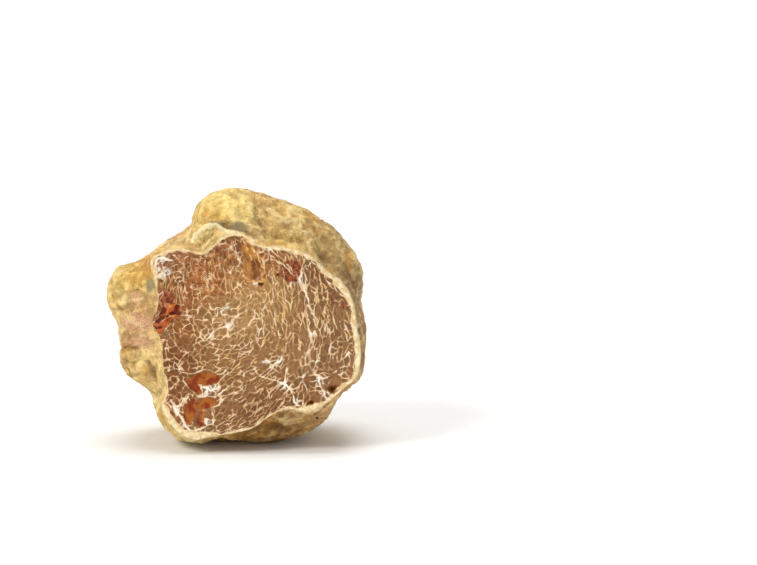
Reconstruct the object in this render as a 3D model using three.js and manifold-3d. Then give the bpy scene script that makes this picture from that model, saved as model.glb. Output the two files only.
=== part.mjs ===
// A white truffle with one side cut away: one lumpy solid with a flat cut face, in millimetres.
// It stands on a small flat spot, +Z is up, and the cut face looks towards -Y and leans back a little.
// The origin is on the floor, under the middle of the body's box.
//
// The body is first laid out square to the cut: "across" runs to the right along the cut face,
// "up" runs up the cut face, and "deep" runs from the cut face into the body.
import * as THREE from "three";
import { mergeVertices } from "three/addons/utils/BufferGeometryUtils.js";
import Module from "manifold-3d";

// Driving dimensions.
const WIDTH = 72; // from the left lobe to the right cheek
const DEPTH = 46; // from the cut face to the back
const BELLY_DEPTH = 18; // how far behind the cut the body is widest
const LEAN = THREE.MathUtils.degToRad(8); // the cut face leans back by this
const FLOOR_CUT = 1.4; // how much of the underside the flat spot takes off
const HUB = new THREE.Vector2(6, 30); // every outline is read as a distance from this point

// How finely the surface is divided.
const MERIDIANS = 90; // round the body
const RINGS = 34; // from the cut edge to the back
const CURVE_STEPS = 12; // between two outline points
const SMOOTHING_ARC = THREE.MathUtils.degToRad(50); // how far the back evens out its lobes
const EVEN_FROM = Math.PI / 2; // along the profile, where the back starts to even out
const EVEN_BY = 0.78 * Math.PI; // and where it has

// The edge of the cut face, as (across, up), anticlockwise from the right cheek.
const CUT_EDGE = [
  [34.0, 31.0], [32.9, 38.5], [29.8, 43.7], [25.1, 47.3], [21.5, 51.0], [16.3, 53.3],
  [8.5, 54.0], [5.2, 55.3], [2.5, 57.0], [-2.3, 56.9], [-8.0, 52.4], [-13.7, 53.4],
  [-18.9, 52.6], [-22.3, 50.0], [-21.2, 45.8], [-20.4, 38.5], [-22.0, 33.3], [-19.6, 28.5],
  [-18.9, 20.9], [-17.9, 15.2], [-19.0, 10.0], [-15.3, 3.8], [-10.6, 1.4], [-5.9, 2.2],
  [4.4, 4.1], [9.6, 7.4], [14.8, 9.8], [20.4, 9.0], [25.6, 11.3], [30.3, 15.2],
  [34.0, 18.8], [35.0, 25.1],
];

// The widest outline of the body behind the cut, as (across, up), the same way round.
const BODY_OUTLINE = [
  [36.0, 32.8], [34.3, 38.5], [34.7, 44.7], [33.2, 51.0], [29.8, 55.6], [26.7, 58.7],
  [22.5, 61.0], [15.8, 65.4], [11.6, 67.3], [7.5, 68.7], [3.4, 69.8], [-0.8, 70.0],
  [-4.9, 69.4], [-8.0, 67.9], [-10.4, 65.6], [-11.6, 62.6], [-12.4, 59.4], [-15.2, 56.6],
  [-19.4, 54.2], [-23.6, 51.6], [-27.6, 49.6], [-32.4, 48.4], [-34.4, 45.4], [-35.4, 42.4],
  [-36.0, 39.5], [-34.9, 36.6], [-33.0, 33.0], [-32.1, 28.5], [-32.2, 24.0], [-31.6, 20.6],
  [-29.3, 17.8], [-26.0, 15.6], [-23.6, 12.8], [-22.4, 9.0], [-20.6, 4.6], [-17.0, 1.2],
  [-12.6, -0.2], [-5.0, 0.4], [2.0, 0.4], [8.5, 0.0], [14.0, 0.8], [19.6, 2.4],
  [24.0, 5.0], [26.6, 9.0], [29.4, 13.4], [33.4, 17.0], [35.4, 22.0], [35.9, 27.5],
];

// Lumps and hollows: where each is, how wide it is, and how far it stands out (or in, below 0).
const LUMPS = [
  // The top knob, the fold in front of it and the dip between them.
  { at: [-2, 65, 9], wide: 8, high: 1.8 },
  { at: [1, 60.5, 4], wide: 4, high: -2 },
  { at: [-6, 56.5, 3], wide: 4, high: 1.1 },
  { at: [11, 62, 9], wide: 5, high: -1.6 },
  { at: [20, 59, 14], wide: 9, high: 1.4 },
  // The right cheek and the notch above it.
  { at: [31, 46, 12], wide: 8, high: 0.8 },
  { at: [34, 37, 10], wide: 4, high: -0.9 },
  // The left lobe: an upper knob, a flat band and a lower knob.
  { at: [-30, 43, 12], wide: 6, high: 1.6 },
  { at: [-26, 34, 9], wide: 5, high: -1.4 },
  { at: [-26, 23, 10], wide: 6, high: 1.6 },
  { at: [-22, 14, 9], wide: 4, high: -1.6 },
  // The underside.
  { at: [12, 5, 9], wide: 6, high: 0.8 },
  { at: [4, 1, 30], wide: 12, high: 1.6 },
  // The back: big soft lobes, and the creases and dimples between them.
  { at: [-14, 50, 34], wide: 14, high: 4.2 },
  { at: [-24, 38, 30], wide: 9, high: 2.6 },
  { at: [18, 52, 34], wide: 13, high: 3.4 },
  { at: [3, 60, 30], wide: 6, high: -3.6 },
  { at: [4, 50, 42], wide: 6, high: -3.4 },
  { at: [-4, 36, 47], wide: 11, high: 3.2 },
  { at: [-16, 32, 42], wide: 5, high: -3.2 },
  { at: [-22, 22, 32], wide: 8, high: 3.4 },
  { at: [-10, 16, 40], wide: 10, high: 2.8 },
  { at: [-2, 26, 46], wide: 5, high: -2.6 },
  { at: [24, 34, 36], wide: 12, high: 3 },
  { at: [11, 37, 45], wide: 5, high: -3.4 },
  { at: [28, 42, 28], wide: 5, high: -2.2 },
  { at: [14, 20, 42], wide: 10, high: 3 },
  { at: [3, 12, 38], wide: 5, high: -2.4 },
  { at: [26, 18, 28], wide: 6, high: -2.4 },
];

const TURN = 2 * Math.PI;
const wrap = (angle) => ((angle % TURN) + TURN) % TURN;

// An outline as a function: the distance from the hub to the closed curve through its points.
function radiusOf(outline) {
  const spots = outline.map(([across, up]) => new THREE.Vector3(across, up, 0));
  const curve = new THREE.CatmullRomCurve3(spots, true, "catmullrom", 0.5);
  const polar = [];
  for (let i = 0; i < spots.length * CURVE_STEPS; i++) {
    const p = curve.getPoint(i / (spots.length * CURVE_STEPS));
    const [dx, dy] = [p.x - HUB.x, p.y - HUB.y];
    polar.push([wrap(Math.atan2(dy, dx)), Math.hypot(dx, dy)]);
  }
  polar.sort((a, b) => a[0] - b[0]);
  polar.unshift([polar.at(-1)[0] - TURN, polar.at(-1)[1]]);
  polar.push([polar[1][0] + TURN, polar[1][1]]);
  return (angle) => {
    const a = wrap(angle);
    const i = polar.findIndex(([b]) => b > a);
    const [[a0, r0], [a1, r1]] = [polar[i - 1], polar[i]];
    return r0 + ((r1 - r0) * (a - a0)) / (a1 - a0);
  };
}

// The same outline with its lobes evened out, as the mean over an arc.
function smoothed(radius) {
  const steps = 16;
  return (angle) => {
    let sum = 0;
    for (let i = -steps; i <= steps; i++) sum += radius(angle + (SMOOTHING_ARC * i) / steps);
    return sum / (2 * steps + 1);
  };
}

const cutRadius = radiusOf(CUT_EDGE);
const outlineRadius = radiusOf(BODY_OUTLINE);
const bodyRadius = (angle) => Math.max(outlineRadius(angle), 1.03 * cutRadius(angle));
const backRadius = smoothed(bodyRadius);

// A point of the plain body. The profile at each angle is a quarter of an ellipse from the cut edge
// out to the widest outline, and then a quarter of another one in to the back.
function plainPoint(angle, share) {
  const [cut, widest] = [cutRadius(angle), bodyRadius(angle)];
  const start = Math.asin(cut / widest);
  const t = start + (Math.PI - start) * share;
  const evenness = THREE.MathUtils.smoothstep(t, EVEN_FROM, EVEN_BY);
  const outer = THREE.MathUtils.lerp(widest, backRadius(angle), evenness);
  const deep =
    t < Math.PI / 2
      ? BELLY_DEPTH * (1 - Math.cos(t) / Math.cos(start))
      : BELLY_DEPTH - (DEPTH - BELLY_DEPTH) * Math.cos(t);
  const r = Math.min(outer * Math.sin(t), widest);
  return new THREE.Vector3(HUB.x + r * Math.cos(angle), HUB.y + r * Math.sin(angle), deep);
}

// Pushes a skin point out from the middle of the body by every lump that reaches it.
const MIDDLE = new THREE.Vector3(HUB.x, HUB.y, BELLY_DEPTH);
function withLumps(point) {
  const out = point.clone().sub(MIDDLE).normalize();
  let push = 0;
  for (const { at, wide, high } of LUMPS) {
    const away = point.distanceTo(new THREE.Vector3(...at));
    push += high * Math.exp(-((away / wide) ** 2));
  }
  const inland = THREE.MathUtils.smoothstep(point.z, 0, 3); // the cut edge stays where it is
  return point.clone().addScaledVector(out, push * inland);
}

// The closed body: a fan over the cut face, then rings of skin that close at the back.
function bodyGeometry() {
  const points = [new THREE.Vector3(HUB.x, HUB.y, 0)];
  for (let ring = 0; ring < RINGS; ring++)
    for (let i = 0; i < MERIDIANS; i++)
      points.push(withLumps(plainPoint((TURN * i) / MERIDIANS, ring / RINGS)));
  points.push(withLumps(plainPoint(0, 1)));

  const index = [];
  const spot = (ring, i) => 1 + ring * MERIDIANS + (i % MERIDIANS);
  const back = points.length - 1;
  for (let i = 0; i < MERIDIANS; i++) {
    index.push(0, spot(0, i), spot(0, i + 1));
    for (let ring = 0; ring < RINGS - 1; ring++) {
      const [a, b, c, d] = [spot(ring, i), spot(ring, i + 1), spot(ring + 1, i + 1), spot(ring + 1, i)];
      index.push(a, d, c, a, c, b);
    }
    index.push(spot(RINGS - 1, i), back, spot(RINGS - 1, i + 1));
  }

  // Into the part's frame: deep becomes +Y, and the whole body leans back about the floor.
  const [cos, sin] = [Math.cos(LEAN), Math.sin(LEAN)];
  const placed = points.map(
    (p) => new THREE.Vector3(p.x, p.z * cos + p.y * sin, p.y * cos - p.z * sin),
  );
  const geometry = new THREE.BufferGeometry().setFromPoints(placed);
  geometry.setIndex(index);
  return geometry;
}

// Manifold in and out.
const wasm = await Module();
wasm.setup();

function toSolid(geometry) {
  const bare = geometry.clone();
  bare.deleteAttribute("normal");
  bare.deleteAttribute("uv");
  const merged = mergeVertices(bare, 1e-4);
  return new wasm.Manifold(
    new wasm.Mesh({
      numProp: 3,
      vertProperties: new Float32Array(merged.attributes.position.array),
      triVerts: new Uint32Array(merged.index.array),
    }),
  );
}

function toGeometry(solid) {
  const { vertProperties, triVerts } = solid.getMesh();
  const geometry = new THREE.BufferGeometry();
  geometry.setAttribute("position", new THREE.BufferAttribute(new Float32Array(vertProperties), 3));
  geometry.setIndex(new THREE.BufferAttribute(new Uint32Array(triVerts), 1));
  return geometry;
}

// Takes off everything under the floor, which leaves the flat spot that the truffle rests on.
function restedOnFlatSpot(body) {
  body.computeBoundingBox();
  const floor = body.boundingBox.min.z + FLOOR_CUT;
  const side = 3 * WIDTH;
  const below = new THREE.BoxGeometry(side, side, side).translate(0, 0, floor - side / 2);
  return toGeometry(toSolid(body).subtract(toSolid(below)));
}

// Moves the finished body over the origin.
function centred(geometry) {
  geometry.computeBoundingBox();
  const { min, max } = geometry.boundingBox;
  return geometry.translate(-(min.x + max.x) / 2, -(min.y + max.y) / 2, -min.z);
}

const truffle = new THREE.Mesh(
  centred(restedOnFlatSpot(bodyGeometry())),
  new THREE.MeshStandardMaterial({ color: 0xd8b878, roughness: 0.75, metalness: 0 }),
);
truffle.name = "truffle";

const part = new THREE.Group();
part.add(truffle);

export default part;
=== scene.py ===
import functools
import itertools
import math

import bpy
import numpy as np
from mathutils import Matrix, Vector


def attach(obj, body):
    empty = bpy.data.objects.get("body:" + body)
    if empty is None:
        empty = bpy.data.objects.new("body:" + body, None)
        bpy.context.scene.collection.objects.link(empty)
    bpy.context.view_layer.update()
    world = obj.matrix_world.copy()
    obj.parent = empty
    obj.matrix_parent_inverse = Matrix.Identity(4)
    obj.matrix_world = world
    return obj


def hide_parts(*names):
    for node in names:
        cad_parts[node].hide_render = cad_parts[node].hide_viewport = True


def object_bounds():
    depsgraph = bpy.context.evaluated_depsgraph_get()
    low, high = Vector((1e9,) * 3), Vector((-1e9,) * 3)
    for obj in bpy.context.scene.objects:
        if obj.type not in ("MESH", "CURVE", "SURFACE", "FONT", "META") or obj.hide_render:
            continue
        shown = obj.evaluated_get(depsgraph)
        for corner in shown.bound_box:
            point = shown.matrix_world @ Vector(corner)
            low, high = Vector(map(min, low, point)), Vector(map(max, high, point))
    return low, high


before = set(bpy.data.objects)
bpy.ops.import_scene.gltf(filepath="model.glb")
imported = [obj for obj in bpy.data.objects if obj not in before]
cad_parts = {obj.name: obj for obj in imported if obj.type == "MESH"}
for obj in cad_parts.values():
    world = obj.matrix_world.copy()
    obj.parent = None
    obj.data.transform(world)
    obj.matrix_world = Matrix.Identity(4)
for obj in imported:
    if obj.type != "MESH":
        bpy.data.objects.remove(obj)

cad_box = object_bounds()

# ---------------------------------------------------------------- the body's plan, as in the frame

DEPTH = 46  # from the cut face to the back
BELLY_DEPTH = 18  # how far behind the cut the body is widest
LEAN = math.radians(8)  # the cut face leans back by this
FLOOR_CUT = 1.4  # how much of the underside the flat spot takes off
HUB = np.array([6.0, 30.0])  # every outline is read as a distance from this point
OVERHANG = 1.03  # the body is at least this much wider than the cut
SMOOTHING_ARC = math.radians(50)  # how far the back evens out its lobes
EVEN_FROM = math.pi / 2  # along the profile, where the back starts to even out
EVEN_BY = 0.78 * math.pi  # and where it has
LUMPS_START = 3  # this far behind the cut, the lumps have their full height

CUT_EDGE = [
    (34.0, 31.0), (32.9, 38.5), (29.8, 43.7), (25.1, 47.3), (21.5, 51.0), (16.3, 53.3),
    (8.5, 54.0), (5.2, 55.3), (2.5, 57.0), (-2.3, 56.9), (-8.0, 52.4), (-13.7, 53.4),
    (-18.9, 52.6), (-22.3, 50.0), (-21.2, 45.8), (-20.4, 38.5), (-22.0, 33.3), (-19.6, 28.5),
    (-18.9, 20.9), (-17.9, 15.2), (-19.0, 10.0), (-15.3, 3.8), (-10.6, 1.4), (-5.9, 2.2),
    (4.4, 4.1), (9.6, 7.4), (14.8, 9.8), (20.4, 9.0), (25.6, 11.3), (30.3, 15.2),
    (34.0, 18.8), (35.0, 25.1),
]

BODY_OUTLINE = [
    (36.0, 32.8), (34.3, 38.5), (34.7, 44.7), (33.2, 51.0), (29.8, 55.6), (26.7, 58.7),
    (22.5, 61.0), (15.8, 65.4), (11.6, 67.3), (7.5, 68.7), (3.4, 69.8), (-0.8, 70.0),
    (-4.9, 69.4), (-8.0, 67.9), (-10.4, 65.6), (-11.6, 62.6), (-12.4, 59.4), (-15.2, 56.6),
    (-19.4, 54.2), (-23.6, 51.6), (-27.6, 49.6), (-32.4, 48.4), (-34.4, 45.4), (-35.4, 42.4),
    (-36.0, 39.5), (-34.9, 36.6), (-33.0, 33.0), (-32.1, 28.5), (-32.2, 24.0), (-31.6, 20.6),
    (-29.3, 17.8), (-26.0, 15.6), (-23.6, 12.8), (-22.4, 9.0), (-20.6, 4.6), (-17.0, 1.2),
    (-12.6, -0.2), (-5.0, 0.4), (2.0, 0.4), (8.5, 0.0), (14.0, 0.8), (19.6, 2.4),
    (24.0, 5.0), (26.6, 9.0), (29.4, 13.4), (33.4, 17.0), (35.4, 22.0), (35.9, 27.5),
]

# Lumps and hollows: across, up, deep, how wide, and how far out (or in, below 0).
LUMPS = [
    # The top knob, the fold in front of it and the dip between them.
    (-2, 65, 9, 8, 1.8), (1, 60.5, 4, 4, -2), (-6, 56.5, 3, 4, 1.1), (11, 62, 9, 5, -1.6),
    (20, 59, 14, 9, 1.4),
    # The right cheek and the notch above it.
    (31, 46, 12, 8, 0.8), (34, 37, 10, 4, -0.9),
    # The left lobe: an upper knob, a flat band and a lower knob.
    (-30, 43, 12, 6, 1.6), (-26, 34, 9, 5, -1.4), (-26, 23, 10, 6, 1.6), (-22, 14, 9, 4, -1.6),
    # The underside.
    (12, 5, 9, 6, 0.8), (4, 1, 30, 12, 1.6),
    # The back: big soft lobes, and the creases and dimples between them.
    (-14, 50, 34, 14, 4.2), (-24, 38, 30, 9, 2.6), (18, 52, 34, 13, 3.4), (3, 60, 30, 6, -3.6),
    (4, 50, 42, 6, -3.4), (-4, 36, 47, 11, 3.2), (-16, 32, 42, 5, -3.2), (-22, 22, 32, 8, 3.4),
    (-10, 16, 40, 10, 2.8), (-2, 26, 46, 5, -2.6), (24, 34, 36, 12, 3), (11, 37, 45, 5, -3.4),
    (28, 42, 28, 5, -2.2), (14, 20, 42, 10, 3), (3, 12, 38, 5, -2.4), (26, 18, 28, 6, -2.4),
]

# How finely the surface is divided.
FACE_STEPS = 216  # squares along each side of the cut face's grid; a multiple of 4
COLUMNS = 2 * FACE_STEPS  # round the rind: one for every two steps of the cut edge
FRONT_RINGS = 38  # from the cut edge to the belly
BACK_RINGS = 82  # from the belly to the back
RINGS = FRONT_RINGS + BACK_RINGS  # the cut edge is the first of them
CURVE_STEPS = 12  # between two outline points
ARC_STEPS = 16  # each way, when the back evens out its lobes

# ---------------------------------------------------------------- marks on the cut face

# The way the marbling runs: across, up, angle in degrees, and how strongly.
VEIN_FLOW = [
    (18, 46, 105, 1.0), (28, 42, 118, 0.9), (31, 28, 95, 0.7), (21, 34, 93, 1.35), (20, 27, 92, 1.2),
    (10, 34, 97, 1.1), (2, 33, 85, 0.4), (4, 22, 12, 1.0), (8, 13, 38, 1.2), (17.6, 10, 80, 0.6),
    (13, 7, 50, 1.1), (25, 18, 105, 0.4), (-3, 25, 25, 0.4), (-2, 18, 20, 0.7), (26, 33, 95, 1.1),
    (-14, 24, 130, 0.3), (-12, 34, 120, 0.1), (-17, 45, 80, 1.1), (-6, 45, 100, 0.8),
    (3, 46, 120, 0.4), (-12, 10, 100, 0.3), (-5, 6, 15, 0.4), (1, 8, 30, 0.8),
]

# Where long veins run side by side: across, up, angle, spacing, half length and half width.
LONG_VEINS = [
    (20, 33, 93, 2.3, 15, 11), (9, 12.5, 38, 2.6, 9.5, 5.5), (-9.5, 45.5, 100, 1.6, 6, 5.5),
]

# The main veins, as half width and the points that each one runs through.
MAIN_VEINS = [
    # The bright diagonal in the middle and its branches.
    (0.21, [(-7.4, 29.1), (-5.6, 30.8), (-3.2, 31.9), (-0.8, 32.8), (1.7, 35.6), (4.0, 36.8)]),
    (0.16, [(-5.8, 29.4), (-2.4, 29.0), (1.2, 30.5), (4.0, 32.2), (6.4, 35.0), (6.2, 37.5)]),
    (0.13, [(-7.2, 37.4), (-4.0, 37.4), (-2.5, 36.0), (-2.0, 34.0)]),
    (0.14, [(-13.2, 35.6), (-10.8, 35.0), (-9.5, 31.6), (-7.4, 29.1)]),
    # Long veins that run down the right half.
    (0.20, [(19.0, 48.3), (18.4, 45.6), (19.2, 42.6), (20.5, 39.7), (21.3, 37.6), (22.0, 35.5)]),
    (0.14, [(10.8, 39.7), (11.6, 36.8), (11.8, 32.5), (12.5, 29.4)]),
    (0.14, [(20.0, 35.5), (20.9, 30.9), (21.6, 27.9), (20.6, 24.8)]),
    (0.13, [(25.3, 37.8), (25.8, 34.2), (25.6, 30.9)]),
    (0.16, [(24.6, 48.0), (25.3, 45.2), (29.3, 41.4), (31.6, 39.3)]),
    # The star-shaped junctions low on the right.
    (0.22, [(6.3, 20.2), (8.2, 18.8), (11.3, 17.7), (14.2, 16.2), (15.9, 14.4), (16.9, 11.8), (18.4, 10.2)]),
    (0.16, [(14.2, 16.2), (14.4, 18.8), (15.1, 20.8)]),
    (0.18, [(15.1, 15.0), (18.0, 16.2), (19.7, 18.1), (20.3, 20.8), (19.7, 24.8)]),
    (0.25, [(23.4, 18.8), (23.6, 16.9), (24.9, 14.4), (26.2, 12.0)]),
    (0.16, [(23.0, 26.5), (22.8, 22.3), (22.2, 20.2), (23.4, 18.8), (25.1, 18.5), (27.2, 19.0),
            (28.4, 20.2)]),
    (0.21, [(10.7, 21.2), (12.6, 22.8), (13.8, 24.6)]),
    # Round the glassy patches and the lower left corner.
    (0.34, [(-17.0, 12.6), (-15.8, 10.0), (-14.4, 7.6), (-13.2, 5.2), (-11.6, 3.8), (-8.0, 4.0)]),
    (0.20, [(-15.8, 10.0), (-13.2, 12.0), (-11.6, 13.2)]),
    (0.16, [(-13.4, 19.4), (-10.2, 19.8), (-7.4, 20.2), (-3.6, 20.0)]),
    (0.18, [(-13.0, 17.6), (-11.6, 15.2), (-9.6, 13.2), (-4.4, 13.2)]),
    (0.25, [(-8.0, 15.9), (-6.2, 14.6), (-3.4, 15.8)]),
    # The frayed lobe at the upper left.
    (0.16, [(-16.4, 49.0), (-15.6, 45.0), (-13.6, 42.2), (-12.3, 41.4)]),
    (0.18, [(-16.0, 51.8), (-13.6, 49.2), (-14.0, 46.8), (-13.2, 44.6)]),
    (0.3, [(-16.4, 50.4), (-18.4, 51.4), (-20.2, 50.6), (-21.2, 48.8), (-20.6, 46.8), (-19.0, 45.0)]),
    (0.14, [(-3.4, 54.4), (-1.8, 55.2), (-0.4, 54.2), (1.2, 54.8)]),
    (0.14, [(-3.0, 52.6), (-1.4, 53.2), (0.4, 52.4), (1.8, 51.4)]),
    # The torn flap under the knob.
    (0.25, [(3.0, 56.2), (5.3, 53.8), (6.8, 51.5), (8.6, 49.4), (8.4, 47.0), (6.6, 44.4)]),
    (0.18, [(8.6, 49.4), (11.0, 50.6), (13.6, 49.0), (17.0, 46.6)]),
]

# White knots, where veins meet and are thicker: across, up, reach and how white.
KNOTS = [
    (14.3, 16.2, 1.5, 1.1), (17.2, 11.8, 1.2, 0.8), (19.6, 18.0, 1.2, 0.9), (23.8, 17.4, 1.3, 1.0),
    (25.4, 13.6, 1.2, 0.9), (22.4, 22.6, 1.2, 0.7), (29.0, 20.2, 1.1, 0.7), (12.7, 22.6, 1.4, 0.9),
    (9.6, 21.4, 1.0, 0.7), (21.8, 30.5, 1.2, 0.6), (19.0, 44.8, 1.5, 0.8), (20.6, 39.6, 1.2, 0.7),
    (21.8, 35.0, 1.3, 0.5), (-6.4, 30.2, 1.2, 0.8), (-0.6, 32.4, 1.3, 0.8), (-12.6, 34.6, 1.6, 0.4),
    (-2.4, 36.6, 1.8, 0.7), (10.4, 54.0, 1.5, 1.1), (6.6, 44.2, 1.0, 0.6), (30.6, 32.0, 1.2, 0.5),
    (25.4, 31.4, 1.2, 0.5), (-15.2, 9.2, 1.4, 0.6), (-13.0, 4.6, 1.8, 0.5), (-7.0, 6.2, 1.4, 0.9),
    (-6.4, 14.8, 2.4, 0.9), (-14.0, 20.6, 1.2, 0.3), (-10.0, 20.2, 1.2, 0.5), (2.8, 26.0, 1.4, 0.5),
    (-19.4, 50.0, 2.4, 0.7),
    (7.6, 30.6, 1.3, 0.5), (31.8, 24.8, 1.1, 0.6), (17.4, 25.4, 1.2, 0.6), (26.4, 26.0, 1.3, 0.5),
]

# Torn edges in the flesh, golden and raised: height, half width, and the points each runs through.
TORN_EDGES = [
    (0.5, 0.4, [(3.4, 56.6), (5.2, 54.4), (6.6, 52.0), (7.8, 49.6), (8.8, 47.4), (8.0, 45.4)]),
    (0.35, 0.3, [(2.6, 56.2), (3.6, 54.2), (4.6, 52.4), (5.2, 50.6)]),
    (0.3, 0.5, [(3.0, 46.2), (4.4, 45.0), (6.4, 44.2), (8.4, 45.0)]),
    (0.22, 0.35, [(-19.2, 38.6), (-16.8, 37.8), (-14.6, 38.2)]),
    (0.2, 0.3, [(-21.4, 31.6), (-19.8, 33.4), (-17.4, 34.4)]),
]

# Where the cream rim is wider, or narrower below 0: across, up, reach and by how much.
RIM_EXTRA = [
    (-11, 2.4, 5.0, 1.5), (-17.6, 8, 3.0, 0.7), (35, 26, 8, 0.8), (30, 43, 5, 0.7), (-20, 34, 8, -0.9),
    (-18, 20, 8, -0.7), (-21, 48, 3, 0.4), (-5, 55, 4, -0.3), (11, 6.5, 5, -0.7), (3, 57, 3, -0.7),
    (22, 9.5, 4.5, 0.9),
    (-12, 52, 4, -0.2),
]

# Where the flesh is crumbly and uneven: across, up, reach and how much.
FRAYED = [
    (-18, 47, 5.0, 0.9), (-10, 47, 6.0, 1.0), (-2, 53, 4.5, 1.0), (-5, 46, 5.0, 0.7), (8, 52, 3.5, 0.6),
    (-18, 38, 3.5, 0.8), (-15, 30, 3.5, 0.4), (12, 48, 3.0, 0.5), (-10, 14, 4.0, 0.3),
]

# Where the marbling is faint: across, up, reach and how faint.
FAINT = [
    (8, 41, 6, 0.4), (0, 34, 5, 0.25), (-9, 46, 4, 0.2), (-1, 53, 4, 0.6), (4, 12, 4, 0.15),
    (-13, 15, 4, 0.3), (-13, 27, 7, 0.42), (16, 47, 3, 0.3), (-17, 37, 3, 0.5), (-4, 47, 4, 0.3),
]

# Stained patches: across, up, half length, half width and angle in degrees.
AMBER = [
    (-7.4, 17.8, 4.1, 1.8, 0), (-10.6, 15.9, 2.9, 1.2, -47), (-11.6, 8.9, 3.9, 1.5, 78),
    (-7.2, 11.3, 2.9, 1.5, 12), (-8.5, 7.2, 2.4, 1.1, 88),
]
RUST = [(-17.0, 36.2, 3.4, 2.3, 28), (-20.2, 32.4, 2.6, 1.6, 62), (-18.2, 34.4, 2.6, 1.9, 50)]
CRIMSON = [
    (16.1, 47.4, 3.4, 3.3, 20), (-18.9, 39.6, 3.4, 2.6, 52), (-21.0, 34.2, 1.1, 0.7, 20),
    (27.2, 39.3, 0.8, 0.6, 90), (30.8, 37.8, 0.9, 1.0, 90), (-14.6, 24.6, 0.9, 0.6, 60),
]
SMOOTH_FLAP = [(4.4, 52.8, 3.4, 1.5, -62), (5.4, 48.8, 3.6, 2.4, -70), (6.6, 45.6, 1.7, 1.3, 60)]
BLEACHED = [
    (-18.9, 47.2, 2.4, 1.5, 10), (-5.9, 15.1, 2.7, 0.9, -8), (-7.0, 6.1, 0.9, 0.9, 0),
    (9.2, 22.5, 1.7, 0.9, 10), (10.0, 54.0, 1.0, 0.6, 0), (16.5, 44.2, 1.2, 0.5, 0),
    (-1.6, 37.4, 0.9, 0.6, 40), (-11.0, 43.2, 1.2, 0.6, 60), (6.4, 43.6, 1.0, 0.7, 0),
    (-15.0, 3.9, 3.2, 1.0, -38),
]
# Pits: sunk into the flesh, and their darker middles are painted shade.
PITS = [(27.2, 15.2, 1.5, 1.15, 20), (21.5, 11.5, 1.25, 0.9, 0), (7.8, 43.8, 0.8, 0.55, 10),
        (12.4, 46.2, 0.6, 0.6, 0), (-16.4, 38.4, 0.7, 0.4, 20)]

# Wide tints of the flesh: across, up, reach, and the colour that the flesh leans to there.
FLESH_TINTS = [
    (8, 40, 8, (188, 144, 89)), (-4, 33, 6, (178, 134, 83)), (20, 33, 8, (156, 112, 69)),
    (28, 30, 7, (146, 104, 65)), (24, 44, 6, (136, 90, 52)), (10, 20, 8, (158, 112, 67)),
    (12, 10, 7, (128, 80, 42)), (-5, 20, 6, (156, 110, 61)), (-15, 22, 6, (128, 74, 32)),
    (-15, 12, 5, (144, 88, 46)), (-4, 8, 6, (148, 102, 59)), (-12, 44, 5, (146, 84, 32)),
    (-6, 44, 4, (168, 94, 34)), (-18, 46, 3.5, (142, 94, 50)), (-1, 53, 3.5, (128, 70, 34)),
    (25, 17, 5, (150, 104, 63)), (-12, 33, 5, (148, 90, 40)), (10, 49, 4, (150, 92, 43)),
    (-16, 50, 3, (150, 94, 61)), (14, 30, 5, (168, 124, 77)), (5, 46, 4, (176, 118, 59)),
]
PLAIN_FLESH = (164, 122, 86)  # where no tint is near

# ---------------------------------------------------------------- marks on the rind, as seen from the cut

# Wide tints: across, up, reach and colour. Besides the rind's own colour, they hold painted light: lighter
# on the top knob and down the left as painted highlight, and darker on the right cheek and the underside as
# painted shade.
RIND_TINTS_AND_LIGHT = [
    (-4, 67, 4, (246, 212, 124)), (-10, 62, 3, (226, 186, 94)), (-4, 62, 3, (220, 174, 80)),
    (2, 64, 3, (236, 202, 118)), (-8, 57.5, 2.6, (206, 172, 94)), (-4, 56, 2.4, (196, 160, 85)),
    (12, 65, 4, (200, 158, 86)), (19, 61, 4, (200, 160, 90)), (26, 57, 4, (190, 156, 90)),
    (31, 51, 4, (172, 138, 82)), (34, 42, 5, (146, 108, 62)), (35, 28, 6, (144, 96, 44)),
    (32, 17, 4, (180, 134, 72)), (14, 56, 4, (206, 170, 90)), (24, 51, 3, (196, 164, 101)),
    (-31, 45, 3, (226, 188, 103)), (-26, 46, 3, (214, 164, 70)), (-23, 50, 3, (206, 148, 61)),
    (-26, 36, 3, (200, 150, 94)), (-33, 38, 2.6, (240, 206, 128)), (-26, 30, 2.6, (206, 162, 108)),
    (-30, 26, 3, (190, 148, 90)), (-25, 22, 4, (250, 216, 140)), (-24, 16, 3, (244, 208, 130)),
    (-29, 20, 2.4, (196, 154, 80)), (-20, 8, 4, (240, 212, 137)), (-14, 2, 5, (242, 218, 150)),
    (-2, 1, 5, (196, 154, 80)), (8, 4, 5, (150, 98, 32)), (14, 5, 3.4, (136, 82, 22)),
    (21, 6, 4, (190, 144, 84)), (27, 11, 3.4, (196, 150, 92)),
]
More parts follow.
